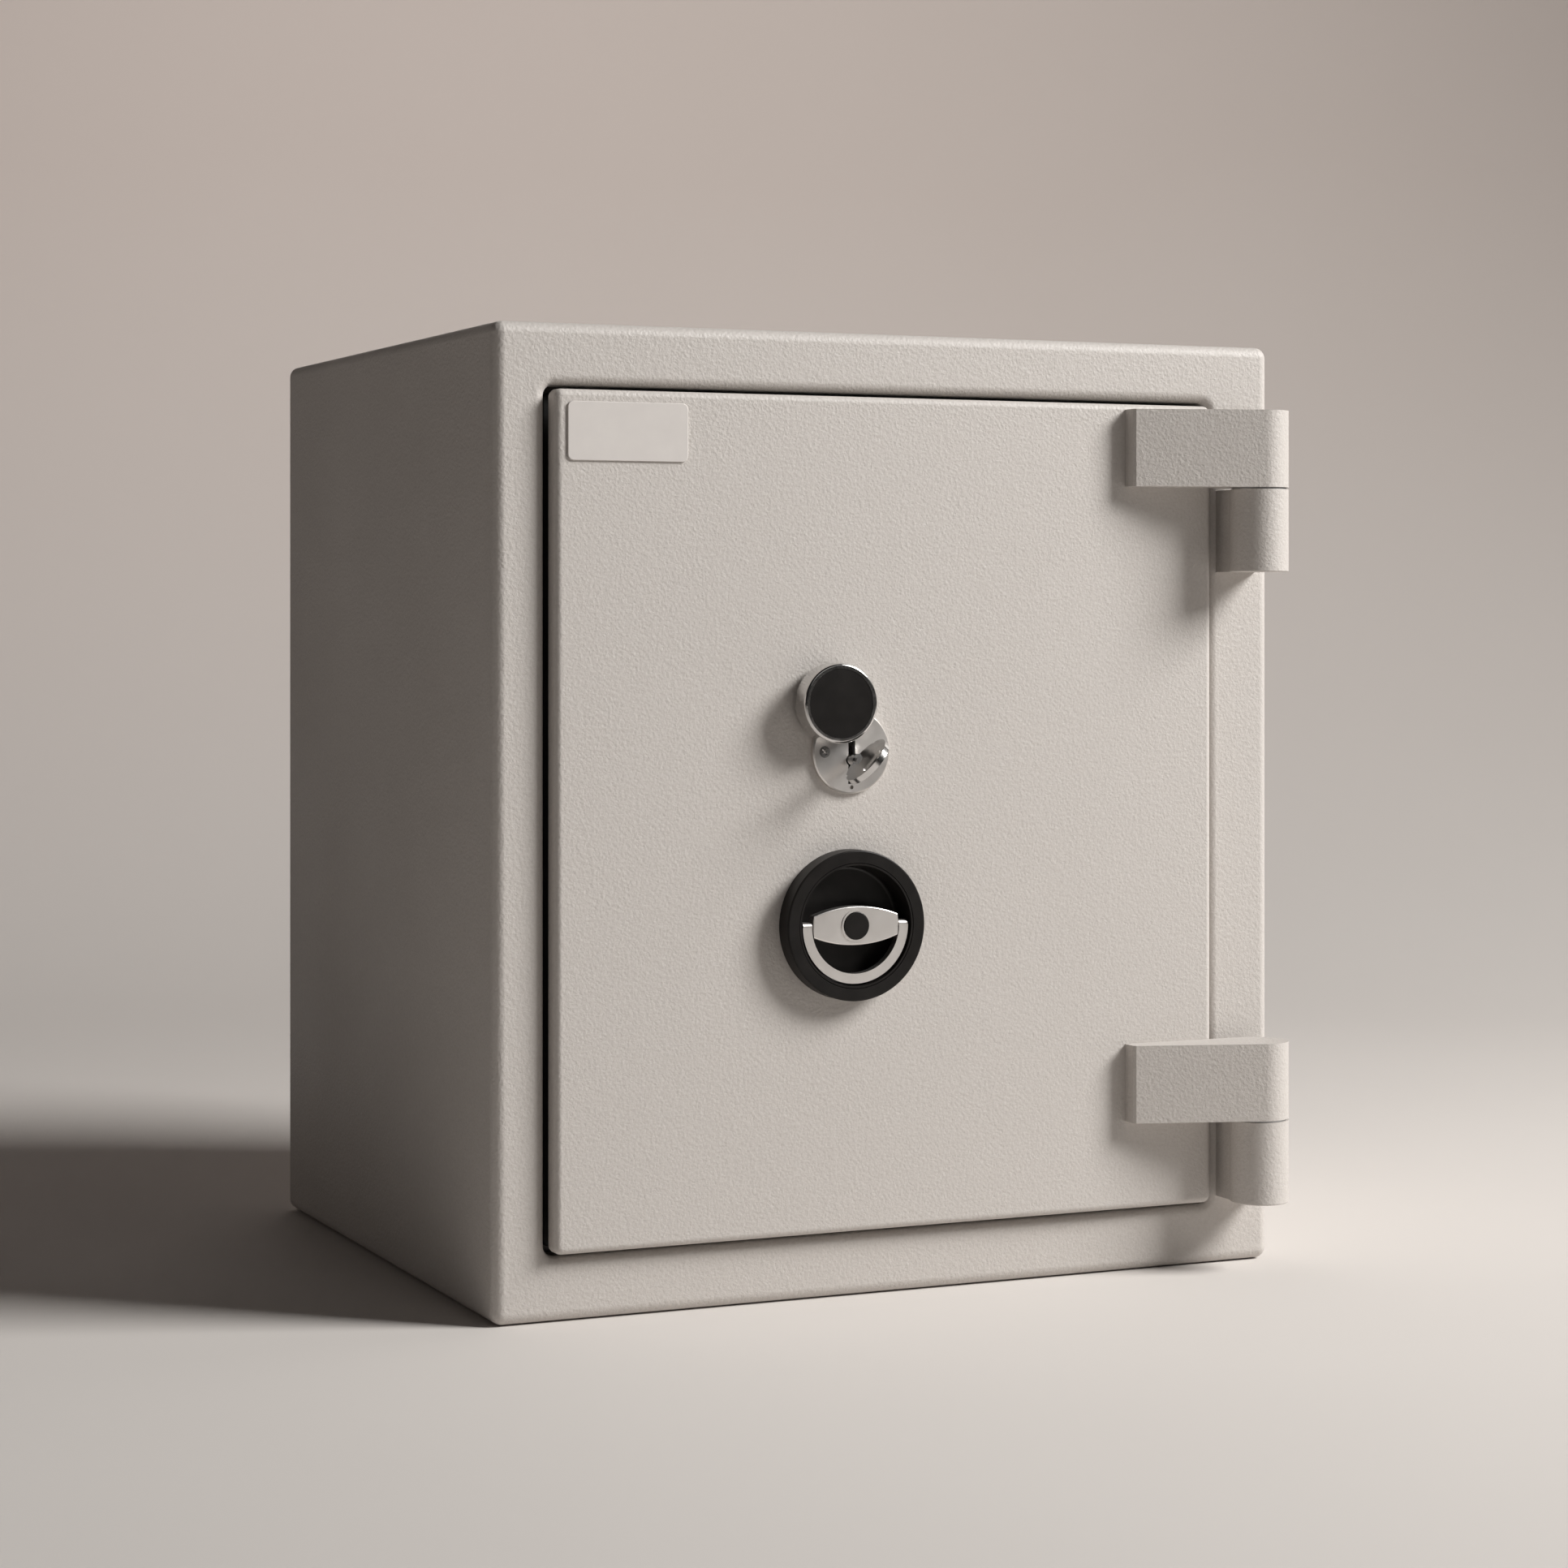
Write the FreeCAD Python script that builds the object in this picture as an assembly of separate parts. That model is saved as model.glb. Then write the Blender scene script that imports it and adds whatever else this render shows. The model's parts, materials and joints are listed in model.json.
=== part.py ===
"""Fireproof document safe: one STEP file per sub-part, millimetres.

Frame: X to the right, Y to the rear, Z up.  The origin is the centre of the base footprint.
The front frame face is at Y = -BODY_D/2 and everything on the door hangs off that plane.
"""
import FreeCAD
import Part
import math
import os

V = FreeCAD.Vector

# ---------------------------------------------------------------- driving dimensions
BODY_W = 440.0            # outer width of the body
BODY_D = 360.0            # outer depth of the body
BODY_H = 490.0            # outer height of the body
SHELL_T = 2.0             # sheet of the outer shell
EDGE_R = 6.0              # outside bend radius of the shell
REAR_T = 2.0              # rear panel sheet

MARGIN_L = 27.0           # frame margin on the lock side
MARGIN_R = 38.0           # frame margin on the hinge side
MARGIN_T = 31.0           # frame margin above the door
MARGIN_B = 32.0           # frame margin below the door
LIP_R = 6.0               # rounded lip round the door opening
OPEN_R = 5.0              # corner radius of the door opening

GAP = 2.0                 # gap round the door plate on three sides
GAP_HINGE = 2.5           # gap on the hinge side
DOOR_PROUD = 8.0          # door face in front of the frame face
DOOR_T = 10.0             # door plate thickness
DOOR_R = 4.0              # corner radius of the door plate
DOOR_EDGE_R = 3.5         # front edge rounding of the door plate

FLANGE_Y = 16.0           # frame face to the front of the stop flange
FLANGE_T = 3.0            # stop flange thickness
FLANGE_W = 14.0           # stop flange width
JAMB_T = 2.0              # jamb sheet
JAMB_DEPTH = 34.0         # depth of the bolt channel behind the stop flange
LINER_STEP = 18.0         # opening wall to the inside of the liner
LINER_T = 2.0             # liner sheet
WALL_REAR = 45.0          # rear wall thickness, shell face to the inside of the liner

PAN_GAP_L = 9.0           # stop flange to the pan on the lock side
PAN_GAP = 9.0             # the same above and below
PAN_GAP_R = 6.0           # the same on the hinge side
PAN_T = 1.5               # pan sheet
DOOR_DEPTH = 70.0         # door face to the back of the inner cover

HINGE_SIDE = 17.0         # opening edge to the hinge axis
HINGE_OUT = 24.0          # hinge axis in front of the frame face
BARREL_R = 15.5           # barrel radius
PIN_R = 4.5               # hinge pin radius
RUN_C = 0.05              # running clearance, radial
ARM_H = 40.5              # height of a hinge arm
KNUCKLE_H = 43.5          # height of a body knuckle
WASHER_T = 1.0            # thrust washer thickness
HINGE_LOW = 4.0           # opening bottom to the lower knuckle
HINGE_TOP = 5.0           # opening top to the top of the upper arm
ARM_REACH = 72.0          # hinge axis to the free end of the arm
ARM_END_T = 9.3           # arm thickness at the free end

HANDLE_X = -33.8          # handle axis
HANDLE_Z = 190.0
HOUSING_R = 38.0          # handle housing radius
HOUSING_OUT = 11.0        # housing in front of the door face
DISH_R = 31.0             # mouth of the finger dish
DISH_DEPTH = 15.0         # housing face to the dish floor
BRIDGE_W = 47.4           # bridge across the dish
BRIDGE_H = 19.7           # bridge height at the middle
BRIDGE_END_H = 10.6       # bridge height at the ends
BRIDGE_T = 5.0            # bridge thickness
BAIL_RO = 29.2            # bail ring, outside
BAIL_RI = 24.2            # bail ring, inside
BAIL_T = 5.0              # bail section, front to back
SPINDLE_R = 6.0

LOCK_X = -33.0            # lock centre line
ESC_Z = 277.4             # centre of the escutcheon
ESC_R = 21.3              # escutcheon radius
ESC_T = 3.0               # escutcheon thickness
KEY_Z = 273.0             # key axis
SLOT_W = 3.8              # keyhole slot
SLOT_H = 24.0
COVER_R = 20.1            # swivel cover radius
COVER_T = 12.5            # swivel cover thickness
COVER_ARM = 15.0          # cover pivot to cover centre
COVER_REST = 130.0        # rest angle of the cover, clockwise from straight down
KEY_REST = 42.0           # rest angle of the key, clockwise from upright
SHANK_R = 2.7             # key shank radius
BOW_HALF = 13.6           # half width of the key bow

BOLT_R = 11.0             # live bolt radius
BOLT_THROW = 19.8         # live bolt throw
BOLT_INSET = 45.0         # end of the pan to the outer live bolts
BOLT_L = 60.0             # live bolt length
CAM_PIN_R = 3.0

BADGE_W = 63.4            # badge plate
BADGE_H = 29.0
BADGE_T = 1.0

# ---------------------------------------------------------------- derived planes
F = -BODY_D / 2                                   # frame face
XL, XR = -BODY_W / 2 + MARGIN_L, BODY_W / 2 - MARGIN_R
ZB, ZT = MARGIN_B, BODY_H - MARGIN_T
DX0, DX1 = XL + GAP, XR - GAP_HINGE               # door plate
DZ0, DZ1 = ZB + GAP, ZT - GAP
DF = F - DOOR_PROUD                               # door face
DB = DF + DOOR_T                                  # back of the door plate
FL0 = F + FLANGE_Y                                # stop flange, front and back
FL1 = FL0 + FLANGE_T
CH1 = FL0 + JAMB_DEPTH                            # back of the bolt channel
LX0, LX1 = XL + LINER_STEP, XR - LINER_STEP       # inside of the liner
LZ0, LZ1 = ZB + LINER_STEP, ZT - LINER_STEP
LY1 = BODY_D / 2 - WALL_REAR
PX0, PX1 = XL + FLANGE_W + PAN_GAP_L, XR - FLANGE_W - PAN_GAP_R
PZ0, PZ1 = ZB + FLANGE_W + PAN_GAP, ZT - FLANGE_W - PAN_GAP
DREAR = DF + DOOR_DEPTH                           # back of the inner cover
COVER_SHEET = 2.0
MP_T = 2.0                                        # mounting plate thickness
MP0 = DB + 16.0                                   # mounting plate, front and back
MP1 = MP0 + MP_T
BOLT_Y = MP1 + 1.5 + BOLT_R                       # live bolt axis
HY = F - HINGE_OUT                                # hinge axis
HINGE_X = XR + HINGE_SIDE
HINGE_Z = (ZB + HINGE_LOW, ZT - HINGE_TOP - ARM_H - WASHER_T - KNUCKLE_H)
BOLT_Z = (PZ0 + BOLT_INSET, 0.5 * (PZ0 + PZ1), PZ1 - BOLT_INSET)
HF = DF - HOUSING_OUT                             # housing face
DISH_Y = HF + DISH_DEPTH                          # dish floor


# ---------------------------------------------------------------- helpers
def box(x0, x1, y0, y1, z0, z1):
    return Part.makeBox(x1 - x0, y1 - y0, z1 - z0, V(x0, y0, z0))


def cyl_y(x, z, r, y0, y1):
    return Part.makeCylinder(r, y1 - y0, V(x, y0, z), V(0, 1, 0))


def cyl_x(y, z, r, x0, x1):
    return Part.makeCylinder(r, x1 - x0, V(x0, y, z), V(1, 0, 0))


def cyl_z(x, y, r, z0, z1):
    return Part.makeCylinder(r, z1 - z0, V(x, y, z0), V(0, 0, 1))


def cone_y(x, z, r0, r1, y0, y1):
    return Part.makeCone(r0, r1, y1 - y0, V(x, y0, z), V(0, 1, 0))


def fillet_where(shape, radius, test):
    """Round every straight or curved edge whose bounding box passes the test."""
    edges = [e for e in shape.Edges if test(e.BoundBox, e)]
    return shape.makeFillet(radius, edges) if edges else shape


def chamfer_where(shape, size, test):
    edges = [e for e in shape.Edges if test(e.BoundBox, e)]
    return shape.makeChamfer(size, edges) if edges else shape


def along_y(bb, tol=1e-3):
    return bb.XLength < tol and bb.ZLength < tol and bb.YLength > tol


def at_y(bb, y, tol=1e-3):
    return abs(bb.YMin - y) < tol and abs(bb.YMax - y) < tol


def rbox_y(x0, x1, y0, y1, z0, z1, r):
    """Plate with rounded corners in the XZ plane."""
    return fillet_where(box(x0, x1, y0, y1, z0, z1), r, lambda b, e: along_y(b))


def ring_y(outer, inner, y0, y1, r_out=0.0, r_in=0.0):
    """Rectangular ring; outer and inner are (x0, x1, z0, z1)."""
    def blk(q, r):
        if r > 0:
            return rbox_y(q[0], q[1], y0, y1, q[2], q[3], r)
        return box(q[0], q[1], y0, y1, q[2], q[3])
    return blk(outer, r_out).cut(blk(inner, r_in))


def grow(q, d):
    return (q[0] - d, q[1] + d, q[2] - d, q[3] + d)


def fuse(*shapes):
    out = shapes[0]
    for s in shapes[1:]:
        out = out.fuse(s)
    return out.removeSplitter()


def slot_y(x, z, half_x, half_z, y0, y1):
    """Slot with round ends, long axis along the larger half size."""
    if half_z >= half_x:
        r = half_x
        core = box(x - r, x + r, y0, y1, z - half_z + r, z + half_z - r)
        return fuse(core, cyl_y(x, z - half_z + r, r, y0, y1), cyl_y(x, z + half_z - r, r, y0, y1))
    r = half_z
    core = box(x - half_x + r, x + half_x - r, y0, y1, z - r, z + r)
    return fuse(core, cyl_y(x - half_x + r, z, r, y0, y1), cyl_y(x + half_x - r, z, r, y0, y1))


def turn_y(shape, x, z, degrees):
    """Turn clockwise as seen from the front (about +Y)."""
    s = shape.copy()
    s.rotate(V(x, 0, z), V(0, 1, 0), degrees)
    return s


def prism_z(pts, z0, z1):
    wire = Part.makePolygon([V(x, y, z0) for x, y in pts] + [V(pts[0][0], pts[0][1], z0)])
    return Part.Face(wire).extrude(V(0, 0, z1 - z0))


def many(shapes):
    return Part.makeCompound(shapes) if len(shapes) > 1 else shapes[0]


def cross_screw(x, z, r, y_face, y_tip, shank_r, depth=1.4, proud=0.0):
    """Countersunk cross-head screw; its face looks to -Y."""
    head_h = min(r - shank_r, 2.5)
    head = cone_y(x, z, r, shank_r, y_face, y_face + head_h)
    if proud > 0:
        head = fuse(head, cone_y(x, z, r * 0.6, r, y_face - proud, y_face))
    body = fuse(head, cyl_y(x, z, shank_r, y_face, y_tip))
    y_cut = y_face - proud - 1
    for a in (45.0, 135.0):
        blade = box(x - r * 0.62, x + r * 0.62, y_cut, y_face - proud + depth, z - 0.35, z + 0.35)
        body = body.cut(turn_y(blade, x, z, a))
    return body


def rear_screw(x, z, r, y_seat, shank_r, y_tip, head_h=2.0):
    """Pan-head screw whose head looks to +Y (inside of the door)."""
    head = cyl_y(x, z, r, y_seat, y_seat + head_h)
    head = fillet_where(head, 0.7, lambda b, e: at_y(b, y_seat + head_h))
    body = fuse(head, cyl_y(x, z, shank_r, y_tip, y_seat))
    for a in (0.0, 90.0):
        blade = box(x - r * 0.6, x + r * 0.6, y_seat + head_h - 1.0, y_seat + head_h + 1, z - 0.35, z + 0.35)
        body = body.cut(turn_y(blade, x, z, a))
    return body


NODES = {}


def node(name, shape):
    NODES[name] = shape


OPENING = (XL, XR, ZB, ZT)
LINER_IN = (LX0, LX1, LZ0, LZ1)

# ================================================================ BODY
# outer shell: one wrapped sheet with a rolled lip round the door opening
outer = box(-BODY_W / 2, BODY_W / 2, F, -F, 0, BODY_H)
outer = fillet_where(outer, EDGE_R, lambda b, e: not at_y(b, -F))
SHELL_IN = (-BODY_W / 2 + SHELL_T, BODY_W / 2 - SHELL_T, SHELL_T, BODY_H - SHELL_T)
cav = box(SHELL_IN[0], SHELL_IN[1], F + SHELL_T, -F - REAR_T, SHELL_IN[2], SHELL_IN[3])
cav = fillet_where(cav, EDGE_R - SHELL_T, lambda b, e: not at_y(b, -F - REAR_T))
rear_seat = rbox_y(SHELL_IN[0], SHELL_IN[1], -F - REAR_T, -F + 1, SHELL_IN[2], SHELL_IN[3],
                   EDGE_R - SHELL_T)
shell = outer.cut(cav).cut(rear_seat)
# rolled lip: a thick ring set into the front sheet, its inner front edge rounded
LIP_BAND = LIP_R + 1.0
rim = ring_y(grow(OPENING, LIP_BAND), OPENING, F, F + LIP_R, OPEN_R + LIP_BAND, OPEN_R)
rim = fillet_where(rim, LIP_R - 0.5, lambda b, e: at_y(b, F) and b.XMin > XL - 0.01
                   and b.XMax < XR + 0.01 and b.ZMin > ZB - 0.01 and b.ZMax < ZT + 0.01)
lip_wall = ring_y(grow(OPENING, JAMB_T), OPENING, F + LIP_R, FL0, OPEN_R + JAMB_T, OPEN_R)
q = grow(OPENING, LIP_BAND)
shell = shell.cut(rbox_y(q[0], q[1], F - 1, F + LIP_R, q[2], q[3], OPEN_R + LIP_BAND))
SEAM_Y = F + EDGE_R + 1.0          # the frame is welded to the wrap just behind the front bend
behind = box(-BODY_W, BODY_W, SEAM_Y, BODY_D, -10, BODY_H + 10)
front_frame = fuse(shell.cut(behind), rim, lip_wall)
wrap = shell.common(behind)
ANCHOR_XY = ((-100.0, 40.0), (89.0, 40.0))
ANCHOR_R = 7.0
SLEEVE_R = 9.0
for ax, ay in ANCHOR_XY:
    wrap = wrap.cut(cyl_z(ax, ay, SLEEVE_R, -1, SHELL_T + 1))
node("front_frame", front_frame)
node("body_wrap", wrap)

rear = rbox_y(SHELL_IN[0], SHELL_IN[1], -F - REAR_T, -F, SHELL_IN[2], SHELL_IN[3], EDGE_R - SHELL_T)
emboss = rbox_y(-BODY_W / 2 + 45, BODY_W / 2 - 45, -F - 0.8, -F + 1, 45, BODY_H - 45, 20)
rear = rear.cut(emboss)
node("rear_panel", rear)

# stepped jamb: stop flange, bolt channel and the return to the liner
node("stop_flange", ring_y(OPENING, grow(OPENING, -FLANGE_W), FL0, FL1, OPEN_R, 3.0))
node("jamb_wall", ring_y(grow(OPENING, JAMB_T), OPENING, FL0, CH1, OPEN_R + JAMB_T, OPEN_R))
node("jamb_return", ring_y(OPENING, LINER_IN, CH1 - JAMB_T, CH1, OPEN_R, 3.0))

SEAL_T = 3.0
seal = ring_y(grow(OPENING, -3.0), grow(OPENING, -11.0), FL0 - SEAL_T, FL0, 3.0, 2.0)
seal = chamfer_where(seal, 0.8, lambda b, e: at_y(b, FL0 - SEAL_T))
node("fire_seal", seal)

# liner: welded wrap and back plate that make the storage space
lin_out = grow(LINER_IN, LINER_T)
LINER_R = 3.0
liner = ring_y(lin_out, LINER_IN, CH1, LY1, LINER_R + LINER_T, LINER_R)
for ax, ay in ANCHOR_XY:
    liner = liner.cut(cyl_z(ax, ay, SLEEVE_R, LZ0 - LINER_T - 1, LZ0 + 1))
node("liner_wrap", liner)
node("liner_back", rbox_y(lin_out[0], lin_out[1], LY1, LY1 + LINER_T, lin_out[2], lin_out[3],
                          LINER_R + LINER_T))

# fire-resistant fill cast between the shell and the liner
fill = cav.cut(rbox_y(q[0], q[1], F, F + LIP_R, q[2], q[3], OPEN_R + LIP_BAND))
q = grow(OPENING, JAMB_T)
fill = fill.cut(rbox_y(q[0], q[1], F, CH1, q[2], q[3], OPEN_R + JAMB_T))
fill = fill.cut(rbox_y(lin_out[0], lin_out[1], CH1 - 1, LY1 + LINER_T, lin_out[2], lin_out[3],
                      LINER_R + LINER_T))
for ax, ay in ANCHOR_XY:
    fill = fill.cut(cyl_z(ax, ay, SLEEVE_R, 0, LZ0))
node("body_fill", fill)

sleeves = []
for ax, ay in ANCHOR_XY:
    sleeves.append(cyl_z(ax, ay, SLEEVE_R, 0, LZ0).cut(cyl_z(ax, ay, ANCHOR_R, -1, LZ0 + 1)))
node("anchor_sleeves", many(sleeves))

# shelf on two angle rails
SHELF_Z = LZ0 + 0.47 * (LZ1 - LZ0)
SHELF_T = 1.5
SHELF_Y0, SHELF_Y1 = CH1 + 22.0, LY1 - 3.0
rails = []
for s, x in ((1, LX0), (-1, LX1)):
    xa, xb = sorted((x, x + s * 14.0))
    xc, xd = sorted((x, x + s * 2.0))
    rails.append(fuse(box(xa, xb, SHELF_Y0, SHELF_Y1, SHELF_Z - 2.0, SHELF_Z),
                      box(xc, xd, SHELF_Y0, SHELF_Y1, SHELF_Z - 16.0, SHELF_Z)))
node("shelf_rails", many(rails))
shelf = box(LX0 + 1.5, LX1 - 1.5, SHELF_Y0, SHELF_Y1, SHELF_Z, SHELF_Z + SHELF_T)
lip = box(LX0 + 1.5, LX1 - 1.5, SHELF_Y0, SHELF_Y0 + SHELF_T, SHELF_Z, SHELF_Z + 14.0)
node("shelf", fuse(shelf, lip))


# hinge knuckles on the frame, pins and washers
def knuckle(z0):
    z1 = z0 + KNUCKLE_H
    foot = box(HINGE_X - 12.0, HINGE_X + 12.0, HY, F, z0, z1)
    barrel = cyl_z(HINGE_X, HY, BARREL_R, z0, z1)
    k = fuse(foot, barrel)
    k = fillet_where(k, 0.8, lambda b, e: b.ZLength < 1e-3 and abs(b.ZMin - z0) < 1e-3
                     and b.YMax < F - 0.5 and e.Curve.TypeId == "Part::GeomCircle")
    return k.cut(cyl_z(HINGE_X, HY, PIN_R, z0 + 4.0, z1 + 1))


def arm(z0):
    z1 = z0 + ARM_H
    px, py = HINGE_X - ARM_REACH, DF - ARM_END_T
    dx, dy = HINGE_X - px, HY - py
    dist = math.hypot(dx, dy)
    ang = math.atan2(dy, dx) - math.asin(BARREL_R / dist)
    tlen = math.sqrt(dist * dist - BARREL_R * BARREL_R)
    tx, ty = px + tlen * math.cos(ang), py + tlen * math.sin(ang)
    back = DF
    pts = [(px, back), (px, py), (tx, ty), (HINGE_X, HY), (HINGE_X, HY + BARREL_R - 0.5),
           (HINGE_X - 6.0, back)]
    blade = prism_z(pts, z0, z1)
    a = fuse(blade, cyl_z(HINGE_X, HY, BARREL_R, z0, z1))
    a = chamfer_where(a, 1.2, lambda b, e: b.XLength < 1e-3 and b.YLength < 1e-3
                      and abs(b.XMin - px) < 1e-3 and abs(b.YMin - py) < 1e-3)
    return a.cut(cyl_z(HINGE_X, HY, PIN_R + RUN_C, z0 - 1, z1 - 3.0))


pins, washers = [], []
for tag, z0 in (("lower", HINGE_Z[0]), ("upper", HINGE_Z[1])):
    zw = z0 + KNUCKLE_H
    node("hinge_knuckle_" + tag, knuckle(z0))
    node("hinge_arm_" + tag, arm(zw + WASHER_T))
    pins.append(cyl_z(HINGE_X, HY, PIN_R, z0 + 4.0, zw + WASHER_T + ARM_H - 3.5))
    washers.append(cyl_z(HINGE_X, HY, BARREL_R - 1.0, zw, zw + WASHER_T).cut(
        cyl_z(HINGE_X, HY, PIN_R + RUN_C, zw - 1, zw + WASHER_T + 1)))
node("hinge_pins", many(pins))
node("hinge_washers", many(washers))

# ================================================================ DOOR
KEY_HOLE_R = SLOT_H / 2 + 1.0      # round passage for the bits behind the keyhole

SPIGOT_R = 33.0                    # housing spigot let into the door plate
plate = rbox_y(DX0, DX1, DF, DB, DZ0, DZ1, DOOR_R)
plate = fillet_where(plate, DOOR_EDGE_R, lambda b, e: at_y(b, DF))
SPIGOT_Y = DISH_Y + 2.0            # back of the housing spigot
plate = plate.cut(cyl_y(HANDLE_X, HANDLE_Z, SPIGOT_R, DF - 1, SPIGOT_Y))
plate = plate.cut(cyl_y(HANDLE_X, HANDLE_Z, 11.0, DF, DB + 1))
plate = plate.cut(cyl_y(LOCK_X, KEY_Z, KEY_HOLE_R, DF - 1, DB + 1))
ESC_SCREW_X = (LOCK_X - 15.0, LOCK_X + 15.0)
for x in ESC_SCREW_X:
    plate = plate.cut(cyl_y(x, ESC_Z, 1.6, DF - 1, DF + 6.0))
node("door_plate", plate)

# pan: flange welded to the plate, four walls
IN = (PX0 + PAN_T, PX1 - PAN_T, PZ0 + PAN_T, PZ1 - PAN_T)   # inside of the pan
pan_flange = ring_y((DX0 + 4, DX1 - 4, DZ0 + 4, DZ1 - 4), IN, DB, DB + PAN_T, 3.0, 0)
pan = fuse(ring_y((PX0, PX1, PZ0, PZ1), IN, DB, DREAR - COVER_SHEET, 4.0, 2.5), pan_flange)
for z in BOLT_Z:
    pan = pan.cut(cyl_x(BOLT_Y, z, BOLT_R + 0.6, PX0 - 1, PX0 + PAN_T + 1))
node("door_pan", pan)

FILL1 = MP0
HP = (LOCK_X - 42.0, LOCK_X + 42.0, KEY_Z - 38.0, KEY_Z + 52.0)
HP_T = 4.0
dfill = rbox_y(IN[0], IN[1], DB, FILL1, IN[2], IN[3], 2.5)
dfill = dfill.cut(box(HP[0], HP[1], DB - 1, DB + HP_T, HP[2], HP[3]))
dfill = dfill.cut(cyl_y(LOCK_X, KEY_Z, KEY_HOLE_R, DB - 1, FILL1 + 1))
dfill = dfill.cut(cyl_y(HANDLE_X, HANDLE_Z, 11.0, DB - 1, FILL1 + 1))
node("door_fill", dfill)
hard = box(HP[0], HP[1], DB, DB + HP_T, HP[2], HP[3]).cut(
    cyl_y(LOCK_X, KEY_Z, KEY_HOLE_R, DB - 1, DB + HP_T + 1))
node("hardplate", hard)

BUSH_R = 10.0
mp = rbox_y(IN[0], IN[1], MP0, MP1, IN[2], IN[3], 2.5)
mp = mp.cut(cyl_y(HANDLE_X, HANDLE_Z, BUSH_R, MP0 - 1, MP1 + 1))
mp = mp.cut(cyl_y(LOCK_X, KEY_Z, KEY_HOLE_R, MP0 - 1, MP1 + 1))
node("mounting_plate", mp)

# spindle bushing, shouldered, carried by the mounting plate
bush = fuse(cyl_y(HANDLE_X, HANDLE_Z, BUSH_R, DB + 6.0, MP1),
            cyl_y(HANDLE_X, HANDLE_Z, BUSH_R + 2.0, MP1, MP1 + 1.5))
bush = bush.cut(cyl_y(HANDLE_X, HANDLE_Z, SPINDLE_R + RUN_C, DB, MP1 + 3))
node("spindle_bushing", bush)

# rear cover of the door and its screws
cov = rbox_y(PX0, PX1, DREAR - COVER_SHEET, DREAR, PZ0, PZ1, 4.0)
cov = fillet_where(cov, 1.2, lambda b, e: at_y(b, DREAR))
POST_R = 6.0
post_xz = []
for x in (IN[0] + 9.0, 0.5 * (IN[0] + IN[1]) + 40.0, IN[1] - 9.0):
    for z in (IN[2] + 9.0, IN[3] - 9.0):
        post_xz.append((x, z))
posts, cscrews = [], []
for x, z in post_xz:
    posts.append(cyl_y(x, z, POST_R, MP1, DREAR - COVER_SHEET).cut(cyl_y(x, z, 2.0, MP1 + 4, DREAR)))
    cov = cov.cut(cyl_y(x, z, 2.1, DREAR - COVER_SHEET - 1, DREAR + 1))
    cscrews.append(rear_screw(x, z, 4.0, DREAR, 2.0, DREAR - 14.0))
node("door_inner_cover", cov)
node("cover_posts", many(posts))
node("cover_screws", many(cscrews))

# fixed dog bar on the hinge side, behind the stop flange
DOG_OUT = 10.0
DOG_Z = (PZ0 + 35.0, PZ1 - 35.0)
dog = box(PX1, PX1 + DOG_OUT, FL1 + 2.0, FL1 + 22.0, DOG_Z[0], DOG_Z[1])
dog = fillet_where(dog, 2.0, lambda b, e: b.XLength < 1e-3 and b.YLength < 1e-3
                   and b.XMin > PX1 + 1)
node("dog_bar", dog)

badge = rbox_y(DX0 + 6.2, DX0 + 6.2 + BADGE_W, DF - BADGE_T, DF, DZ1 - 6.0 - BADGE_H, DZ1 - 6.0, 3.0)
badge = fillet_where(badge, 0.35, lambda b, e: at_y(b, DF - BADGE_T))
node("badge_plate", badge)

# ---------------------------------------------------------------- lock
EF = DF - ESC_T
esc = cyl_y(LOCK_X, ESC_Z, ESC_R, EF, DF)
esc = chamfer_where(esc, 0.7, lambda b, e: at_y(b, EF))
esc = esc.cut(box(LOCK_X - SLOT_W / 2, LOCK_X + SLOT_W / 2, EF - 1, DF + 1,
                  KEY_Z - SLOT_H / 2, KEY_Z + SLOT_H / 2))
esc = esc.cut(cyl_y(LOCK_X, KEY_Z, SHANK_R + 0.4, EF - 1, DF + 1))
DRAIN_R = 1.0                      # small hole just under the keyhole
esc = esc.cut(cyl_y(LOCK_X, KEY_Z - SLOT_H / 2 - DRAIN_R - 0.7, DRAIN_R, EF - 1, DF + 1))
PIVOT_Z = ESC_Z + COVER_ARM
RIVET_R = 2.0
esc = esc.cut(cyl_y(LOCK_X, PIVOT_Z, RIVET_R, EF - 1, DF + 1))
SCREW_R, SCREW_S = 2.9, 1.5
esc_screws = []
for x in ESC_SCREW_X:
    head = cross_screw(x, ESC_Z, SCREW_R, EF, DF + 5.0, SCREW_S)
    esc = esc.cut(cone_y(x, ESC_Z, SCREW_R + 0.55, SCREW_S + 0.05, EF - 0.5, EF + SCREW_R - SCREW_S))
    esc = esc.cut(cyl_y(x, ESC_Z, SCREW_S + 0.05, EF - 1, DF + 1))
    esc_screws.append(head)
node("escutcheon", esc)
node("escutcheon_screws", many(esc_screws))

COVER_C = 0.25                     # cover to escutcheon face
CY1 = EF - COVER_C                 # back of the cover
CY0 = CY1 - COVER_T                # front of the cover
RIM_W = 2.6
cup = cyl_y(LOCK_X, ESC_Z, COVER_R, CY0, CY1)
cup = fillet_where(cup, 1.4, lambda b, e: at_y(b, CY0))
cup = fillet_where(cup, 0.5, lambda b, e: at_y(b, CY1))
cup = cup.cut(cyl_y(LOCK_X, ESC_Z, COVER_R - RIM_W, CY0 - 1, CY0 + 1.2))
cup = cup.cut(cyl_y(LOCK_X, PIVOT_Z, RIVET_R + RUN_C, CY1 - 6.0, CY1 + 1))
cup = cup.cut(cyl_y(LOCK_X, PIVOT_Z, RIVET_R + 1.6, CY1 - 6.0, CY1 - 3.0))
insert = cyl_y(LOCK_X, ESC_Z, COVER_R - RIM_W, CY0 + 0.2, CY0 + 1.2)
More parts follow.
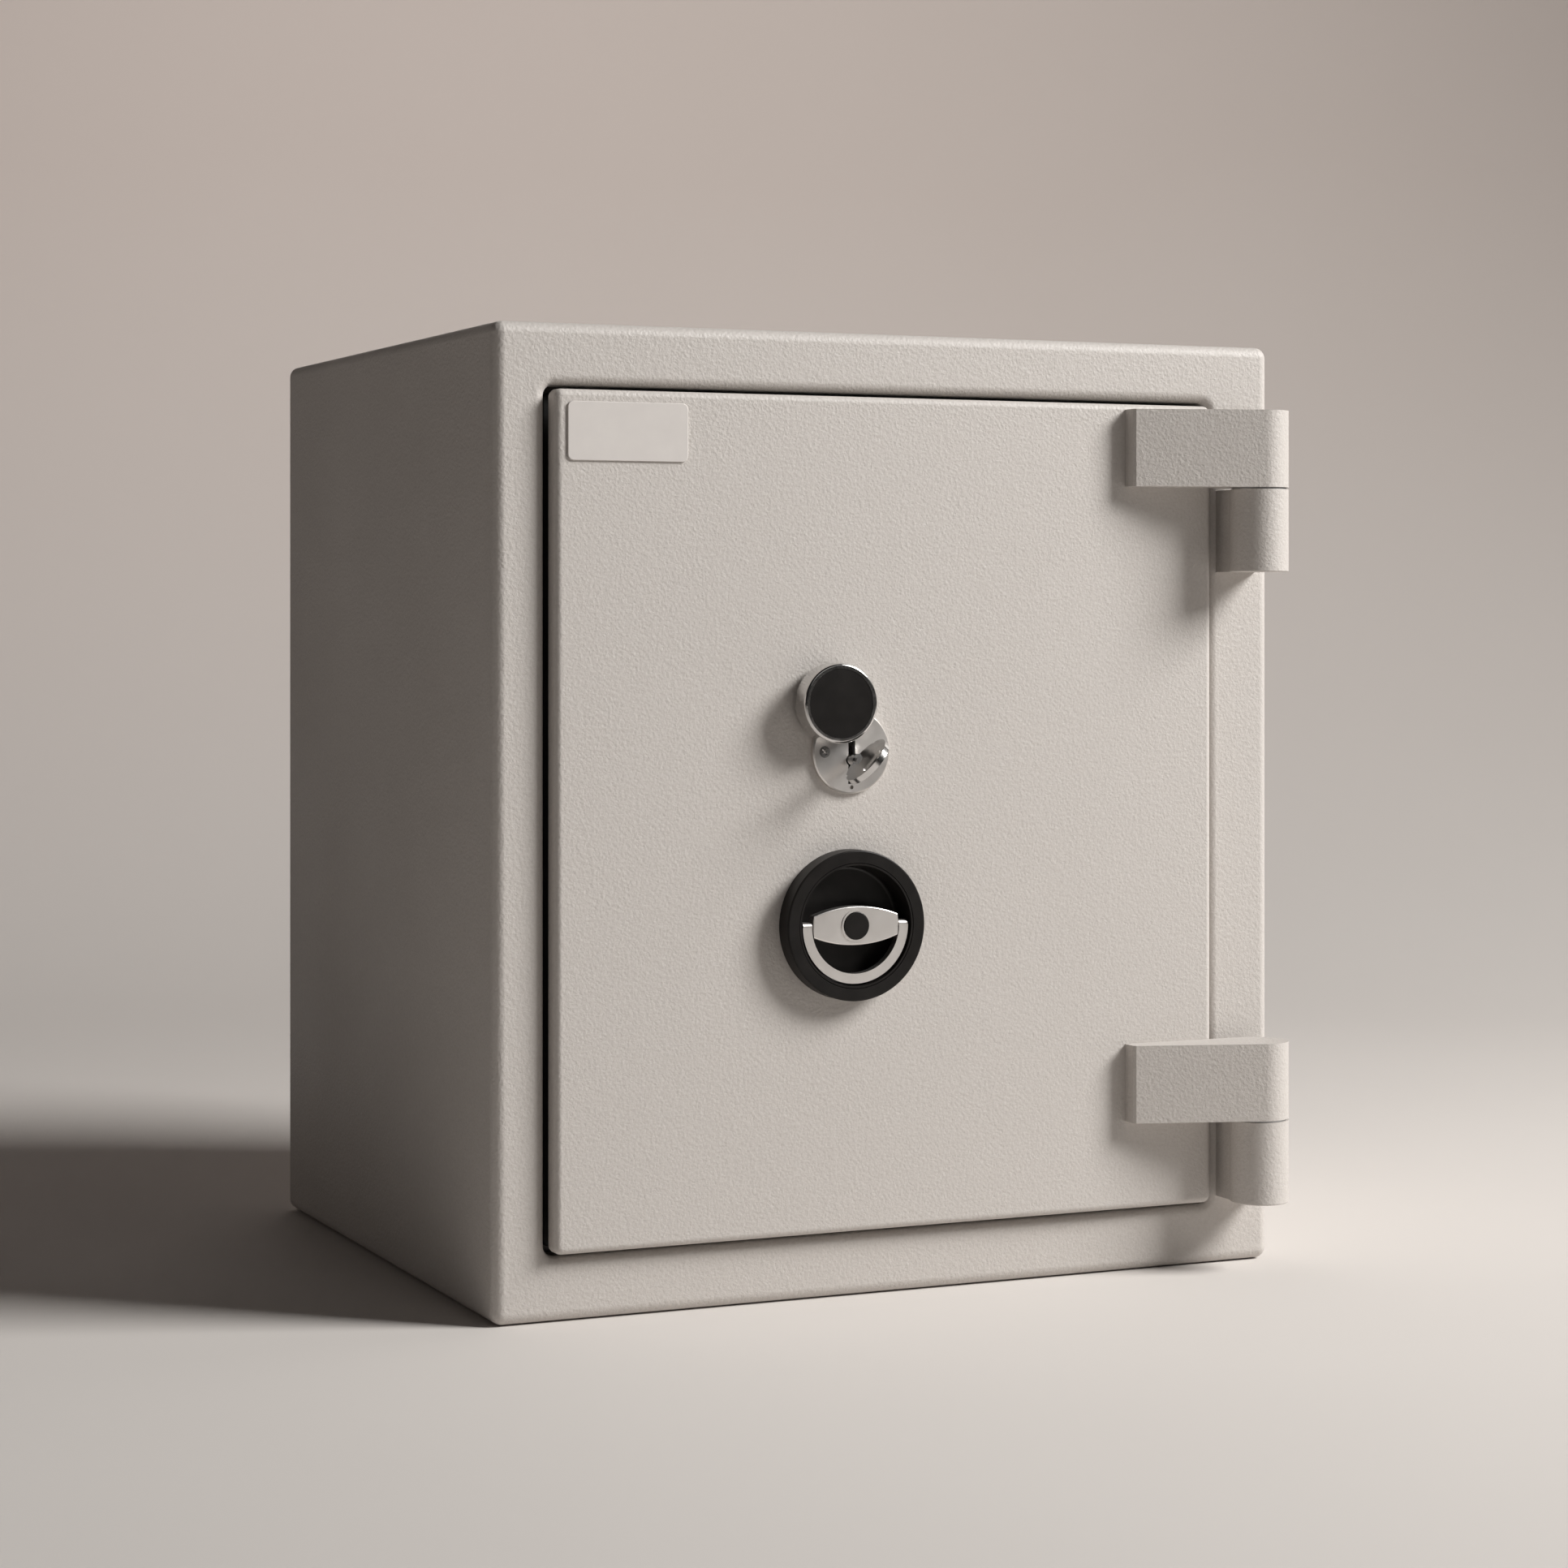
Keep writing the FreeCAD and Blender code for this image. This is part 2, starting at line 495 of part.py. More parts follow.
node("lock_cover", turn_y(cup, LOCK_X, PIVOT_Z, COVER_REST))
node("cover_insert", turn_y(insert, LOCK_X, PIVOT_Z, COVER_REST))
rivet = fuse(cyl_y(LOCK_X, PIVOT_Z, RIVET_R, CY1 - 3.1, DF),
             cyl_y(LOCK_X, PIVOT_Z, RIVET_R + 1.2, CY1 - 5.0, CY1 - 3.1))
node("cover_rivet", rivet)

# lock case with its bit chamber and the sliding lock bolt
CASE_W, CASE_T = 28.0, 22.0
CASE_Z0, CASE_Z1 = KEY_Z - 32.0, KEY_Z + 30.0
CHAMBER_R = KEY_HOLE_R
CASE_Y1 = MP1 + CASE_T
case = box(LOCK_X - CASE_W, LOCK_X + CASE_W, MP1, CASE_Y1, CASE_Z0, CASE_Z1)
case = fillet_where(case, 4.0, lambda b, e: along_y(b))
case = case.cut(cyl_y(LOCK_X, KEY_Z, CHAMBER_R, MP1 - 1, MP1 + 11.0))
LB_HALF, LB_T = 8.0, 6.0
LB_Y0 = MP1 + 12.0
LB_TRAVEL_UP = 2.0                 # room for the lock bolt above its rest place
LB_Z0, LB_Z1 = KEY_Z - 46.0, KEY_Z - 14.0
case = case.cut(box(LOCK_X - LB_HALF - 0.1, LOCK_X + LB_HALF + 0.1, LB_Y0 - 0.1, LB_Y0 + LB_T + 0.1,
                    CASE_Z0 - 1, LB_Z1 + LB_TRAVEL_UP + 1.0))
LOCK_SCREW = [(LOCK_X + sx * (CASE_W - 6.0), z) for sx in (-1, 1) for z in (CASE_Z0 + 6.0, CASE_Z1 - 6.0)]
lscrews = []
for x, z in LOCK_SCREW:
    case = case.cut(cyl_y(x, z, 2.0, MP1 - 1, CASE_Y1 + 1))
    lscrews.append(rear_screw(x, z, 3.6, CASE_Y1, 2.0, MP1))
node("lock_case", case)
node("lock_screws", many(lscrews))
lbolt = box(LOCK_X - LB_HALF, LOCK_X + LB_HALF, LB_Y0, LB_Y0 + LB_T, LB_Z0, LB_Z1)
lbolt = chamfer_where(lbolt, 1.2, lambda b, e: abs(b.ZMin - LB_Z0) < 1e-3 and abs(b.ZMax - LB_Z0) < 1e-3)
node("lock_bolt", lbolt)

# key: oval bow, collar, round shank and double bit; built upright and then turned
BOW_Y0, BOW_Y1 = EF - 31.0, EF - 6.5
BOW_T = 3.0
cy = 0.5 * (BOW_Y0 + BOW_Y1)
half_y = 0.5 * (BOW_Y1 - BOW_Y0)
e_axis = Part.Ellipse()
e_axis.MajorRadius = max(BOW_HALF, half_y)
e_axis.MinorRadius = min(BOW_HALF, half_y)
edge = e_axis.toShape()
if BOW_HALF >= half_y:
    edge.rotate(V(0, 0, 0), V(0, 0, 1), 90.0)
bow = Part.Face(Part.Wire([edge])).extrude(V(0, 0, BOW_T))
bow.translate(V(0, 0, -BOW_T / 2))
bow.rotate(V(0, 0, 0), V(0, 1, 0), 90.0)
bow.rotate(V(0, 0, 0), V(1, 0, 0), 90.0)
bow.translate(V(LOCK_X, cy, KEY_Z))
EYE_R = 1.9                        # half width of the ring slot in the bow
eye_y = BOW_Y0 + 2.6 + EYE_R
ring_hole = fuse(cyl_x(eye_y, KEY_Z + 5.0, EYE_R, LOCK_X - 5, LOCK_X + 5),
                 box(LOCK_X - 5, LOCK_X + 5, eye_y - EYE_R, eye_y + EYE_R, KEY_Z - 5.0, KEY_Z + 5.0),
                 cyl_x(eye_y, KEY_Z - 5.0, EYE_R, LOCK_X - 5, LOCK_X + 5))
bow = bow.cut(ring_hole)
# shoulders: behind the cover's face the bow is no wider than the room beside the open cover
key_to_cover = math.hypot(COVER_ARM * math.sin(math.radians(COVER_REST)),
                          PIVOT_Z - KEY_Z - COVER_ARM * math.cos(math.radians(COVER_REST)))
SHOULDER = key_to_cover - COVER_R - 0.5
for s in (-1, 1):
    za, zb = sorted((KEY_Z + s * SHOULDER, KEY_Z + s * (BOW_HALF + 5)))
    bow = bow.cut(box(LOCK_X - 5, LOCK_X + 5, CY0 - 0.4, EF, za, zb))
KEY_TIP = MP1 + 10.4
shank = cyl_y(LOCK_X, KEY_Z, SHANK_R, BOW_Y1 - 5.0, KEY_TIP)
SHOULDER_R = SHANK_R + 0.9         # collar between the bow and the shank
neck = cyl_y(LOCK_X, KEY_Z, SHOULDER_R, BOW_Y1 - 2.0, BOW_Y1 + 1.5)
bit = box(LOCK_X - 1.4, LOCK_X + 1.4, MP1 + 1.0, MP1 + 10.0,
          KEY_Z - SLOT_H / 2 + 0.7, KEY_Z + SLOT_H / 2 - 0.7)
for s in (-1, 1):
    za, zb = sorted((KEY_Z + s * 9.0, KEY_Z + s * 12.0))
    bit = bit.cut(box(LOCK_X - 3, LOCK_X + 3, MP1 + 3.0, MP1 + 5.0, za, zb))
    za, zb = sorted((KEY_Z + s * 7.5, KEY_Z + s * 12.0))
    bit = bit.cut(box(LOCK_X - 3, LOCK_X + 3, MP1 + 7.0, MP1 + 8.5, za, zb))
key = fuse(bow, shank, neck, bit)
node("key", turn_y(key, LOCK_X, KEY_Z, KEY_REST))

# ---------------------------------------------------------------- handle
# housing: fixed ring let into the door; the rotor is the turning dish inside it
ROTOR_R = SPIGOT_R - 1.6
hous = cyl_y(HANDLE_X, HANDLE_Z, HOUSING_R, HF, DF)
hous = fillet_where(hous, 0.9, lambda b, e: at_y(b, HF))
hous = fuse(hous, cyl_y(HANDLE_X, HANDLE_Z, SPIGOT_R, DF, SPIGOT_Y))
hous = hous.cut(cyl_y(HANDLE_X, HANDLE_Z, ROTOR_R + 0.3, HF - 1, SPIGOT_Y - 1.0))
hous = hous.cut(cyl_y(HANDLE_X, HANDLE_Z, 11.0, HF, SPIGOT_Y + 1))
node("handle_housing", hous)

ROT_Y0, ROT_Y1 = HF + 0.15, SPIGOT_Y - 1.3
rotor = cyl_y(HANDLE_X, HANDLE_Z, ROTOR_R, ROT_Y0, ROT_Y1)
dish = cone_y(HANDLE_X, HANDLE_Z, DISH_R - 0.6, DISH_R - 2.0, ROT_Y0 - 0.001, DISH_Y - 1.0)
dish = fillet_where(dish, 2.0, lambda b, e: at_y(b, DISH_Y - 1.0))
rotor = rotor.cut(dish)
# solid hub under the bridge
HUB_R = 9.0
BR_Y0 = HF + 1.2                   # bridge face
BR_Y1 = BR_Y0 + BRIDGE_T
hub = cyl_y(HANDLE_X, HANDLE_Z, HUB_R, BR_Y1, ROT_Y1)
rotor = fuse(rotor, hub)
rotor = rotor.cut(cyl_y(HANDLE_X, HANDLE_Z, SPINDLE_R, BR_Y1 - 1, ROT_Y1 + 1))
node("handle_rotor", rotor)


# eye-shaped bridge: two shallow arcs between straight ends
def eye(w, h, h_end, y0, y1):
    hw, hh, he = w / 2, h / 2, h_end / 2
    def p(x, z):
        return V(HANDLE_X + x, y0, HANDLE_Z + z)
    top = Part.Arc(p(-hw, he), p(0, hh), p(hw, he)).toShape()
    right = Part.makeLine(p(hw, he), p(hw, -he))
    bot = Part.Arc(p(hw, -he), p(0, -hh), p(-hw, -he)).toShape()
    left = Part.makeLine(p(-hw, -he), p(-hw, he))
    return Part.Face(Part.Wire([top, right, bot, left])).extrude(V(0, y1 - y0, 0))


bridge = eye(BRIDGE_W, BRIDGE_H, BRIDGE_END_H, BR_Y0, BR_Y1)
bridge = fillet_where(bridge, 0.7, lambda b, e: at_y(b, BR_Y0))
CAP_R, RING_R = 7.1, 8.0
bridge = bridge.cut(cyl_y(HANDLE_X, HANDLE_Z, CAP_R, BR_Y0 - 1, BR_Y0 + 2.0))
BAIL_Y = BR_Y0 + BRIDGE_T / 2 + 0.2     # bail pivot axis
BAIL_C = 0.35                           # bridge ends to the inside of the swinging bail
bridge = bridge.common(Part.makeSphere(BAIL_RI - BAIL_C, V(HANDLE_X, BAIL_Y, HANDLE_Z)))
PINB_R = 1.5
PIN_IN = 6.0                            # pin length inside the bridge
for s in (-1, 1):
    xa, xb = sorted((HANDLE_X + s * (BRIDGE_W / 2 - PIN_IN), HANDLE_X + s * (BRIDGE_W / 2 + 1)))
    bridge = bridge.cut(cyl_x(BAIL_Y, HANDLE_Z, PINB_R, xa, xb))
node("handle_bridge", bridge)
ringc = cyl_y(HANDLE_X, HANDLE_Z, RING_R, BR_Y0 - 0.5, BR_Y0).cut(
    cyl_y(HANDLE_X, HANDLE_Z, CAP_R, BR_Y0 - 2, BR_Y0 + 1))
node("hub_ring", ringc)
cap = cyl_y(HANDLE_X, HANDLE_Z, CAP_R, BR_Y0 - 0.9, BR_Y0 + 2.0)
cap = fillet_where(cap, 0.6, lambda b, e: at_y(b, BR_Y0 - 0.9))
node("hub_cap", cap)
bpins = []
for s in (-1, 1):
    xa, xb = sorted((HANDLE_X + s * (BRIDGE_W / 2 - PIN_IN), HANDLE_X + s * (BAIL_RO - 1.2)))
    bpins.append(cyl_x(BAIL_Y, HANDLE_Z, PINB_R, xa, xb))
node("bail_pins", many(bpins))

# bail: half ring with eyed ends, hanging in the lower half of the dish
bail = cyl_y(HANDLE_X, HANDLE_Z, BAIL_RO, BAIL_Y - BAIL_T / 2, BAIL_Y + BAIL_T / 2)
bail = bail.cut(cyl_y(HANDLE_X, HANDLE_Z, BAIL_RI, BAIL_Y - BAIL_T, BAIL_Y + BAIL_T))
bail = bail.cut(box(HANDLE_X - 40, HANDLE_X + 40, BAIL_Y - 5, BAIL_Y + 5, HANDLE_Z, HANDLE_Z + 40))
ends = []
for s in (-1, 1):
    xa, xb = sorted((HANDLE_X + s * BAIL_RI, HANDLE_X + s * (BAIL_RO - 0.25)))
    ends.append(cyl_x(BAIL_Y, HANDLE_Z, BAIL_T / 2, xa, xb))
bail = fuse(bail, *ends)
for s in (-1, 1):
    xa, xb = sorted((HANDLE_X + s * (BAIL_RI - 1), HANDLE_X + s * (BAIL_RO - 1.0)))
    bail = bail.cut(cyl_x(BAIL_Y, HANDLE_Z, PINB_R + RUN_C, xa, xb))
node("bail", bail)

# spindle and drive cam; the cam pin starts 45 degrees clockwise of upright
CAM_PIN_ARC = BOLT_THROW / 2 / math.sin(math.radians(45.0))
CAM_Y0, CAM_Y1 = MP1 + 4.0, MP1 + 9.0
node("spindle", cyl_y(HANDLE_X, HANDLE_Z, SPINDLE_R, BR_Y1, CAM_Y1))
cam = cyl_y(HANDLE_X, HANDLE_Z, CAM_PIN_ARC + 5.0, CAM_Y0, CAM_Y1)
cam = cam.cut(box(HANDLE_X - 30, HANDLE_X + 30, CAM_Y0 - 1, CAM_Y1 + 1, HANDLE_Z - 40, HANDLE_Z - 10.0))
cam = cam.cut(cyl_y(HANDLE_X, HANDLE_Z, SPINDLE_R, CAM_Y0 - 1, CAM_Y1 + 1))
SLIDE_Y0, SLIDE_Y1 = CAM_Y1 + 1.0, CAM_Y1 + 6.0
cam = fuse(cam, cyl_y(HANDLE_X, HANDLE_Z + CAM_PIN_ARC, CAM_PIN_R, CAM_Y1 - 1, SLIDE_Y1 + 1.0))
node("drive_cam", turn_y(cam, HANDLE_X, HANDLE_Z, 45.0))

# ---------------------------------------------------------------- boltwork
BAR_X0 = PX0 + BOLT_L - 2.0
BAR_X1 = BAR_X0 + 6.0
ARM_Z0, ARM_Z1 = HANDLE_Z - 2.0, HANDLE_Z + 26.0
bar = box(BAR_X0, BAR_X1, BOLT_Y - 11.0, BOLT_Y + 11.0, BOLT_Z[0] - 16.0, BOLT_Z[2] + 16.0)
pin_x = HANDLE_X + BOLT_THROW / 2
armp = box(BAR_X1, pin_x + 12.0, SLIDE_Y0, SLIDE_Y1, ARM_Z0, ARM_Z1)
half_slot = CAM_PIN_R + 0.6
z_lo = HANDLE_Z + CAM_PIN_ARC * math.cos(math.radians(45.0)) - CAM_PIN_R - 1.0
z_hi = HANDLE_Z + CAM_PIN_ARC + CAM_PIN_R + 1.0
armp = armp.cut(slot_y(pin_x, 0.5 * (z_lo + z_hi), half_slot, 0.5 * (z_hi - z_lo),
                       SLIDE_Y0 - 1, SLIDE_Y1 + 1))
# raised lugs with the long notch that the lock bolt drops into
lug_z1 = ARM_Z1 + 12.0
lug_l = box(LOCK_X - LB_HALF - 13.5, LOCK_X - LB_HALF - 1.5, SLIDE_Y0, SLIDE_Y1, ARM_Z1, lug_z1)
lug_r_x = LOCK_X + LB_HALF + BOLT_THROW + 1.5
lug_r = box(lug_r_x, lug_r_x + 12.0, SLIDE_Y0, SLIDE_Y1, ARM_Z1 - 20, lug_z1)
armp = fuse(armp, box(pin_x + 12.0, lug_r_x + 12.0, SLIDE_Y0, SLIDE_Y1, ARM_Z0, ARM_Z1), lug_l, lug_r)
STUD_R = 4.0
STUDS = [(BAR_X1 + 16.0, HANDLE_Z + 12.0)]
for x, z in STUDS:
    armp = armp.cut(slot_y(x + BOLT_THROW / 2, z, BOLT_THROW / 2 + STUD_R + 0.3, STUD_R + 0.08,
                           SLIDE_Y0 - 1, SLIDE_Y1 + 1))
carriage = fuse(bar, armp)
for z in BOLT_Z:
    carriage = carriage.cut(cyl_x(BOLT_Y, z, 5.0, BAR_X0 - 1, BAR_X1 + 1.6))
node("bolt_carriage", carriage)
studs = []
for x, z in STUDS:
    studs.append(fuse(cyl_y(x, z, STUD_R, MP1, SLIDE_Y1 + 0.5),
                      cyl_y(x, z, STUD_R + 3.0, MP1, SLIDE_Y0 - 0.3),
                      cyl_y(x, z, STUD_R + 3.0, SLIDE_Y1 + 0.5, SLIDE_Y1 + 2.5)))
node("guide_studs", many(studs))

bolts, guides = [], []
GUIDE_X0, GUIDE_X1 = PX0 + PAN_T, PX0 + 20.0
for z in BOLT_Z:
    b = cyl_x(BOLT_Y, z, BOLT_R, PX0 - 1.0, BAR_X0)
    b = chamfer_where(b, 1.5, lambda bb, e: bb.XLength < 1e-3 and abs(bb.XMin - (PX0 - 1.0)) < 1e-3)
    bolts.append(fuse(b, cyl_x(BOLT_Y, z, 5.0, BAR_X0, BAR_X1 + 1.5)))
    g = box(GUIDE_X0, GUIDE_X1, MP1, BOLT_Y + BOLT_R + 4.0, z - BOLT_R - 5.0, z + BOLT_R + 5.0)
    g = fillet_where(g, 3.0, lambda bb, e: bb.YLength < 1e-3 and bb.ZLength < 1e-3
                     and bb.YMin > MP1 + 1)
    guides.append(g.cut(cyl_x(BOLT_Y, z, BOLT_R + RUN_C, GUIDE_X0 - 1, GUIDE_X1 + 1)))
node("live_bolts", many(bolts))
node("bolt_guides", many(guides))

# ================================================================ export
os.makedirs("parts", exist_ok=True)
for name in sorted(NODES):
    NODES[name].exportStep("parts/" + name + ".step")
print(len(NODES), "parts")
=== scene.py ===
import json
import math

import bmesh
import bpy
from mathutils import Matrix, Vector

VIEW_TURN = math.radians(-24)          # the camera looks this far round from +Y
WELD_DIST = 2e-6                       # joins the seam vertices of the CAD meshes
CREASE = math.radians(28)              # edges sharper than this stay hard
NORMAL_WEIGHT = 60

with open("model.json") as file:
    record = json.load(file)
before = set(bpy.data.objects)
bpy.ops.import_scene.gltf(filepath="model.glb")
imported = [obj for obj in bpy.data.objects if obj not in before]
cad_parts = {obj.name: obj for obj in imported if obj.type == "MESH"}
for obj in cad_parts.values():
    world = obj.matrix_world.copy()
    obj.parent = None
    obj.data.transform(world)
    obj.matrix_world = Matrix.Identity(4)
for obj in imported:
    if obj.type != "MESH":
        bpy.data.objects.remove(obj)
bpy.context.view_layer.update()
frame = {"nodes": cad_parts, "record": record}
nodes = frame["nodes"]
scene = bpy.context.scene


# ------------------------------------------------------------------ node helpers
class Mat:
    """A small builder round one Principled material."""

    def __init__(self, name):
        self.m = bpy.data.materials.new(name)
        self.m.use_nodes = True
        self.t = self.m.node_tree
        self.b = self.t.nodes["Principled BSDF"]
        self.co = self.t.nodes.new("ShaderNodeTexCoord").outputs["Object"]

    def new(self, kind, **props):
        n = self.t.nodes.new(kind)
        for k, v in props.items():
            setattr(n, k, v)
        return n

    def link(self, a, b):
        self.t.links.new(a, b)

    def mapped(self, scale):
        n = self.new("ShaderNodeMapping")
        n.inputs["Scale"].default_value = scale
        self.link(self.co, n.inputs["Vector"])
        return n.outputs["Vector"]

    def noise(self, scale, detail=2.0, rough=0.5, distort=0.0, vec=None):
        n = self.new("ShaderNodeTexNoise")
        n.inputs["Scale"].default_value = scale
        n.inputs["Detail"].default_value = detail
        n.inputs["Roughness"].default_value = rough
        n.inputs["Distortion"].default_value = distort
        self.link(vec or self.co, n.inputs["Vector"])
        return n.outputs["Fac"]

    def cells(self, scale, vec=None):
        n = self.new("ShaderNodeTexVoronoi", feature="SMOOTH_F1")
        n.inputs["Scale"].default_value = scale
        n.inputs["Smoothness"].default_value = 0.6
        self.link(vec or self.co, n.inputs["Vector"])
        return n.outputs["Distance"]

    def rng(self, fac, lo, hi, a=0.3, b=0.7):
        n = self.new("ShaderNodeMapRange")
        n.inputs["From Min"].default_value = a
        n.inputs["From Max"].default_value = b
        n.inputs["To Min"].default_value = lo
        n.inputs["To Max"].default_value = hi
        self.link(fac, n.inputs["Value"])
        return n.outputs["Result"]

    def math(self, op, a, b):
        n = self.new("ShaderNodeMath", operation=op)
        for i, v in enumerate((a, b)):
            if isinstance(v, (int, float)):
                n.inputs[i].default_value = v
            else:
                self.link(v, n.inputs[i])
        return n.outputs[0]

    def tint(self, fac, c0, c1, a=0.3, b=0.7):
        n = self.new("ShaderNodeValToRGB")
        n.color_ramp.elements[0].position, n.color_ramp.elements[0].color = a, (*c0, 1)
        n.color_ramp.elements[1].position, n.color_ramp.elements[1].color = b, (*c1, 1)
        self.link(fac, n.inputs["Fac"])
        return n.outputs["Color"]

    def bump(self, height, strength, distance, under=None):
        n = self.new("ShaderNodeBump")
        n.inputs["Strength"].default_value = strength
        n.inputs["Distance"].default_value = distance
        self.link(height, n.inputs["Height"])
        if under is not None:
            self.link(under, n.inputs["Normal"])
        self.link(n.outputs["Normal"], self.b.inputs["Normal"])
        return n.outputs["Normal"]

    def finish(self, color=None, rough=None, **sockets):
        if color is not None:
            self.link(color, self.b.inputs["Base Color"])
        if rough is not None:
            self.link(rough, self.b.inputs["Roughness"])
        for k, v in sockets.items():
            self.b.inputs[k.replace("_", " ")].default_value = v
        return self.m


def paint(name, c0, c1, grain=680.0, depth=0.0005, strength=0.54, r0=0.46, r1=0.58):
    """Textured powder coat: leathery grain about 1.5 mm across over a faint orange peel."""
    m = Mat(name)
    wave = m.bump(m.noise(55.0, 2.0), 0.12, 0.0008)
    big = m.noise(grain, 3.0, 0.55, 1.1)
    cel = m.cells(grain * 0.85)
    height = m.math("ADD", m.math("MULTIPLY", big, 0.9), m.math("MULTIPLY", cel, 0.6))
    m.bump(height, strength, depth, wave)
    fine = m.tint(m.noise(grain * 0.9, 2.0, 0.5, 0.8), c0, c1, 0.32, 0.68)
    return m.finish(fine, m.rng(m.noise(9.0, 3.0), r0, r1))


def metal(name, c0, c1, r0, r1, streak=(1.0, 1.0, 1.0), scratch=0.12, grain=900.0):
    """Bare or plated metal with directional grain and light handling marks."""
    m = Mat(name)
    v = m.mapped(streak)
    brush = m.noise(grain, 3.0, 0.6, 0.0, v)
    smear = m.noise(60.0, 4.0, 0.6)
    m.bump(brush, scratch, 0.00012)
    col = m.tint(smear, c0, c1)
    rough = m.math("ADD", m.rng(smear, r0, r1), m.rng(brush, -0.03, 0.03))
    return m.finish(col, rough, Metallic=1.0)


def plastic(name, c0, c1, r0, r1, grain=1500.0, depth=0.00008, spec=0.5):
    m = Mat(name)
    m.bump(m.noise(grain, 2.0, 0.5, 0.4), 0.25, depth)
    return m.finish(m.tint(m.noise(120.0, 3.0), c0, c1), m.rng(m.noise(35.0, 4.0), r0, r1),
                    Specular_IOR_Level=spec)


def cast(name, c0, c1):
    m = Mat(name)
    m.bump(m.noise(260.0, 8.0, 0.7), 0.6, 0.0008)
    return m.finish(m.tint(m.noise(180.0, 6.0, 0.7), c0, c1), m.rng(m.noise(90.0, 3.0), 0.82, 0.95))


MATS = {
    "safe_paint": paint("safe_paint", (0.535, 0.50, 0.47), (0.575, 0.542, 0.512)),
    "jamb_paint": paint("jamb_paint", (0.115, 0.106, 0.098), (0.15, 0.14, 0.13), 800.0, 0.0002, 0.3),
    "liner_paint": paint("liner_paint", (0.42, 0.405, 0.385), (0.47, 0.455, 0.43),
                         900.0, 0.00015, 0.3, 0.35, 0.5),
    "fire_fill": cast("fire_fill", (0.45, 0.43, 0.39), (0.60, 0.58, 0.54)),
    "seal_strip": plastic("seal_strip", (0.012, 0.012, 0.012), (0.022, 0.021, 0.02),
                          0.7, 0.85, 900.0, 0.0003),
    "plain_steel": metal("plain_steel", (0.42, 0.42, 0.42), (0.52, 0.52, 0.52), 0.34, 0.5, (1, 1, 6)),
    "bright_steel": metal("bright_steel", (0.60, 0.60, 0.60), (0.70, 0.70, 0.69), 0.22, 0.34, (8, 1, 1)),
    "brass_bush": metal("brass_bush", (0.58, 0.42, 0.18), (0.68, 0.50, 0.24), 0.25, 0.4),
    "satin_nickel": metal("satin_nickel", (0.80, 0.775, 0.75), (0.85, 0.825, 0.80),
                          0.30, 0.37, (1, 1, 10), 0.06),
    "polished_nickel": metal("polished_nickel", (0.66, 0.65, 0.64), (0.69, 0.68, 0.67),
                             0.15, 0.19, (1, 1, 1), 0.02),
    "black_plastic": plastic("black_plastic", (0.0070, 0.0060, 0.0055), (0.0115, 0.0100, 0.0092),
                             0.34, 0.46, 1500.0, 0.00008, 0.22),
    "badge_face": plastic("badge_face", (0.650, 0.615, 0.590), (0.675, 0.640, 0.612),
                          0.28, 0.38, 700.0, 0.00004),
}


def dress(obj, material):
    """Give one CAD piece its material, and smooth shading with hard creases."""
    obj.data.materials.clear()
    obj.data.materials.append(material)
    obj.data.shade_smooth()
    weld = obj.modifiers.new("weld", "WELD")
    weld.merge_threshold = WELD_DIST
    split = obj.modifiers.new("creases", "EDGE_SPLIT")
    split.split_angle = CREASE
    split.use_edge_sharp = False
    shade = obj.modifiers.new("normals", "WEIGHTED_NORMAL")
    shade.weight = NORMAL_WEIGHT


slot_of = {s["node"]: s["material_slot"] for s in frame["record"]["subparts"]}
for name, obj in nodes.items():
    dress(obj, MATS[slot_of[name]])


# ------------------------------------------------------------------ stage, light, camera
def cyclorama():
    """Floor that sweeps up into a plain wall behind the object, square to the camera."""
    half, front, back, radius, top = 6.0, -4.0, 2.6, 1.6, 5.0
    steps = 24
    prof = [(front, 0.0), (back - radius, 0.0)]
    for i in range(1, steps + 1):
        a = math.radians(90.0 * i / steps)
        prof.append((back - radius + radius * math.sin(a), radius - radius * math.cos(a)))
    prof.append((back, top))
    bm = bmesh.new()
    rows = [[bm.verts.new((x, y, z)) for x in (-half, half)] for y, z in prof]
    for a, b in zip(rows, rows[1:]):
        bm.faces.new((a[0], a[1], b[1], b[0]))
    me = bpy.data.meshes.new("backdrop")
    bm.to_mesh(me)
    bm.free()
    me.shade_smooth()
    o = bpy.data.objects.new("backdrop", me)
    scene.collection.objects.link(o)
    o.rotation_euler = (0, 0, VIEW_TURN)
    o.location = (0, 0, -0.0004)       # just under the base, so that the two faces don't flicker
    m = Mat("backdrop")
    m.bump(m.noise(300.0, 3.0), 0.03, 0.0003)
    sep = m.new("ShaderNodeSeparateXYZ")
    m.link(m.co, sep.inputs["Vector"])
    # painted shade: the backdrop colour ramps from the pale floor to a darker, warmer wall with height,
    # standing in for light falling off up the sweep
    height = m.math("ADD", sep.outputs["Z"], m.rng(m.noise(1.3, 2.0), -0.05, 0.05))
    me.materials.append(m.finish(m.tint(height, (0.69, 0.655, 0.625), (0.62, 0.555, 0.515), 0.02, 0.9),
                                 m.rng(m.noise(4.0, 2.0), 0.75, 0.85)))


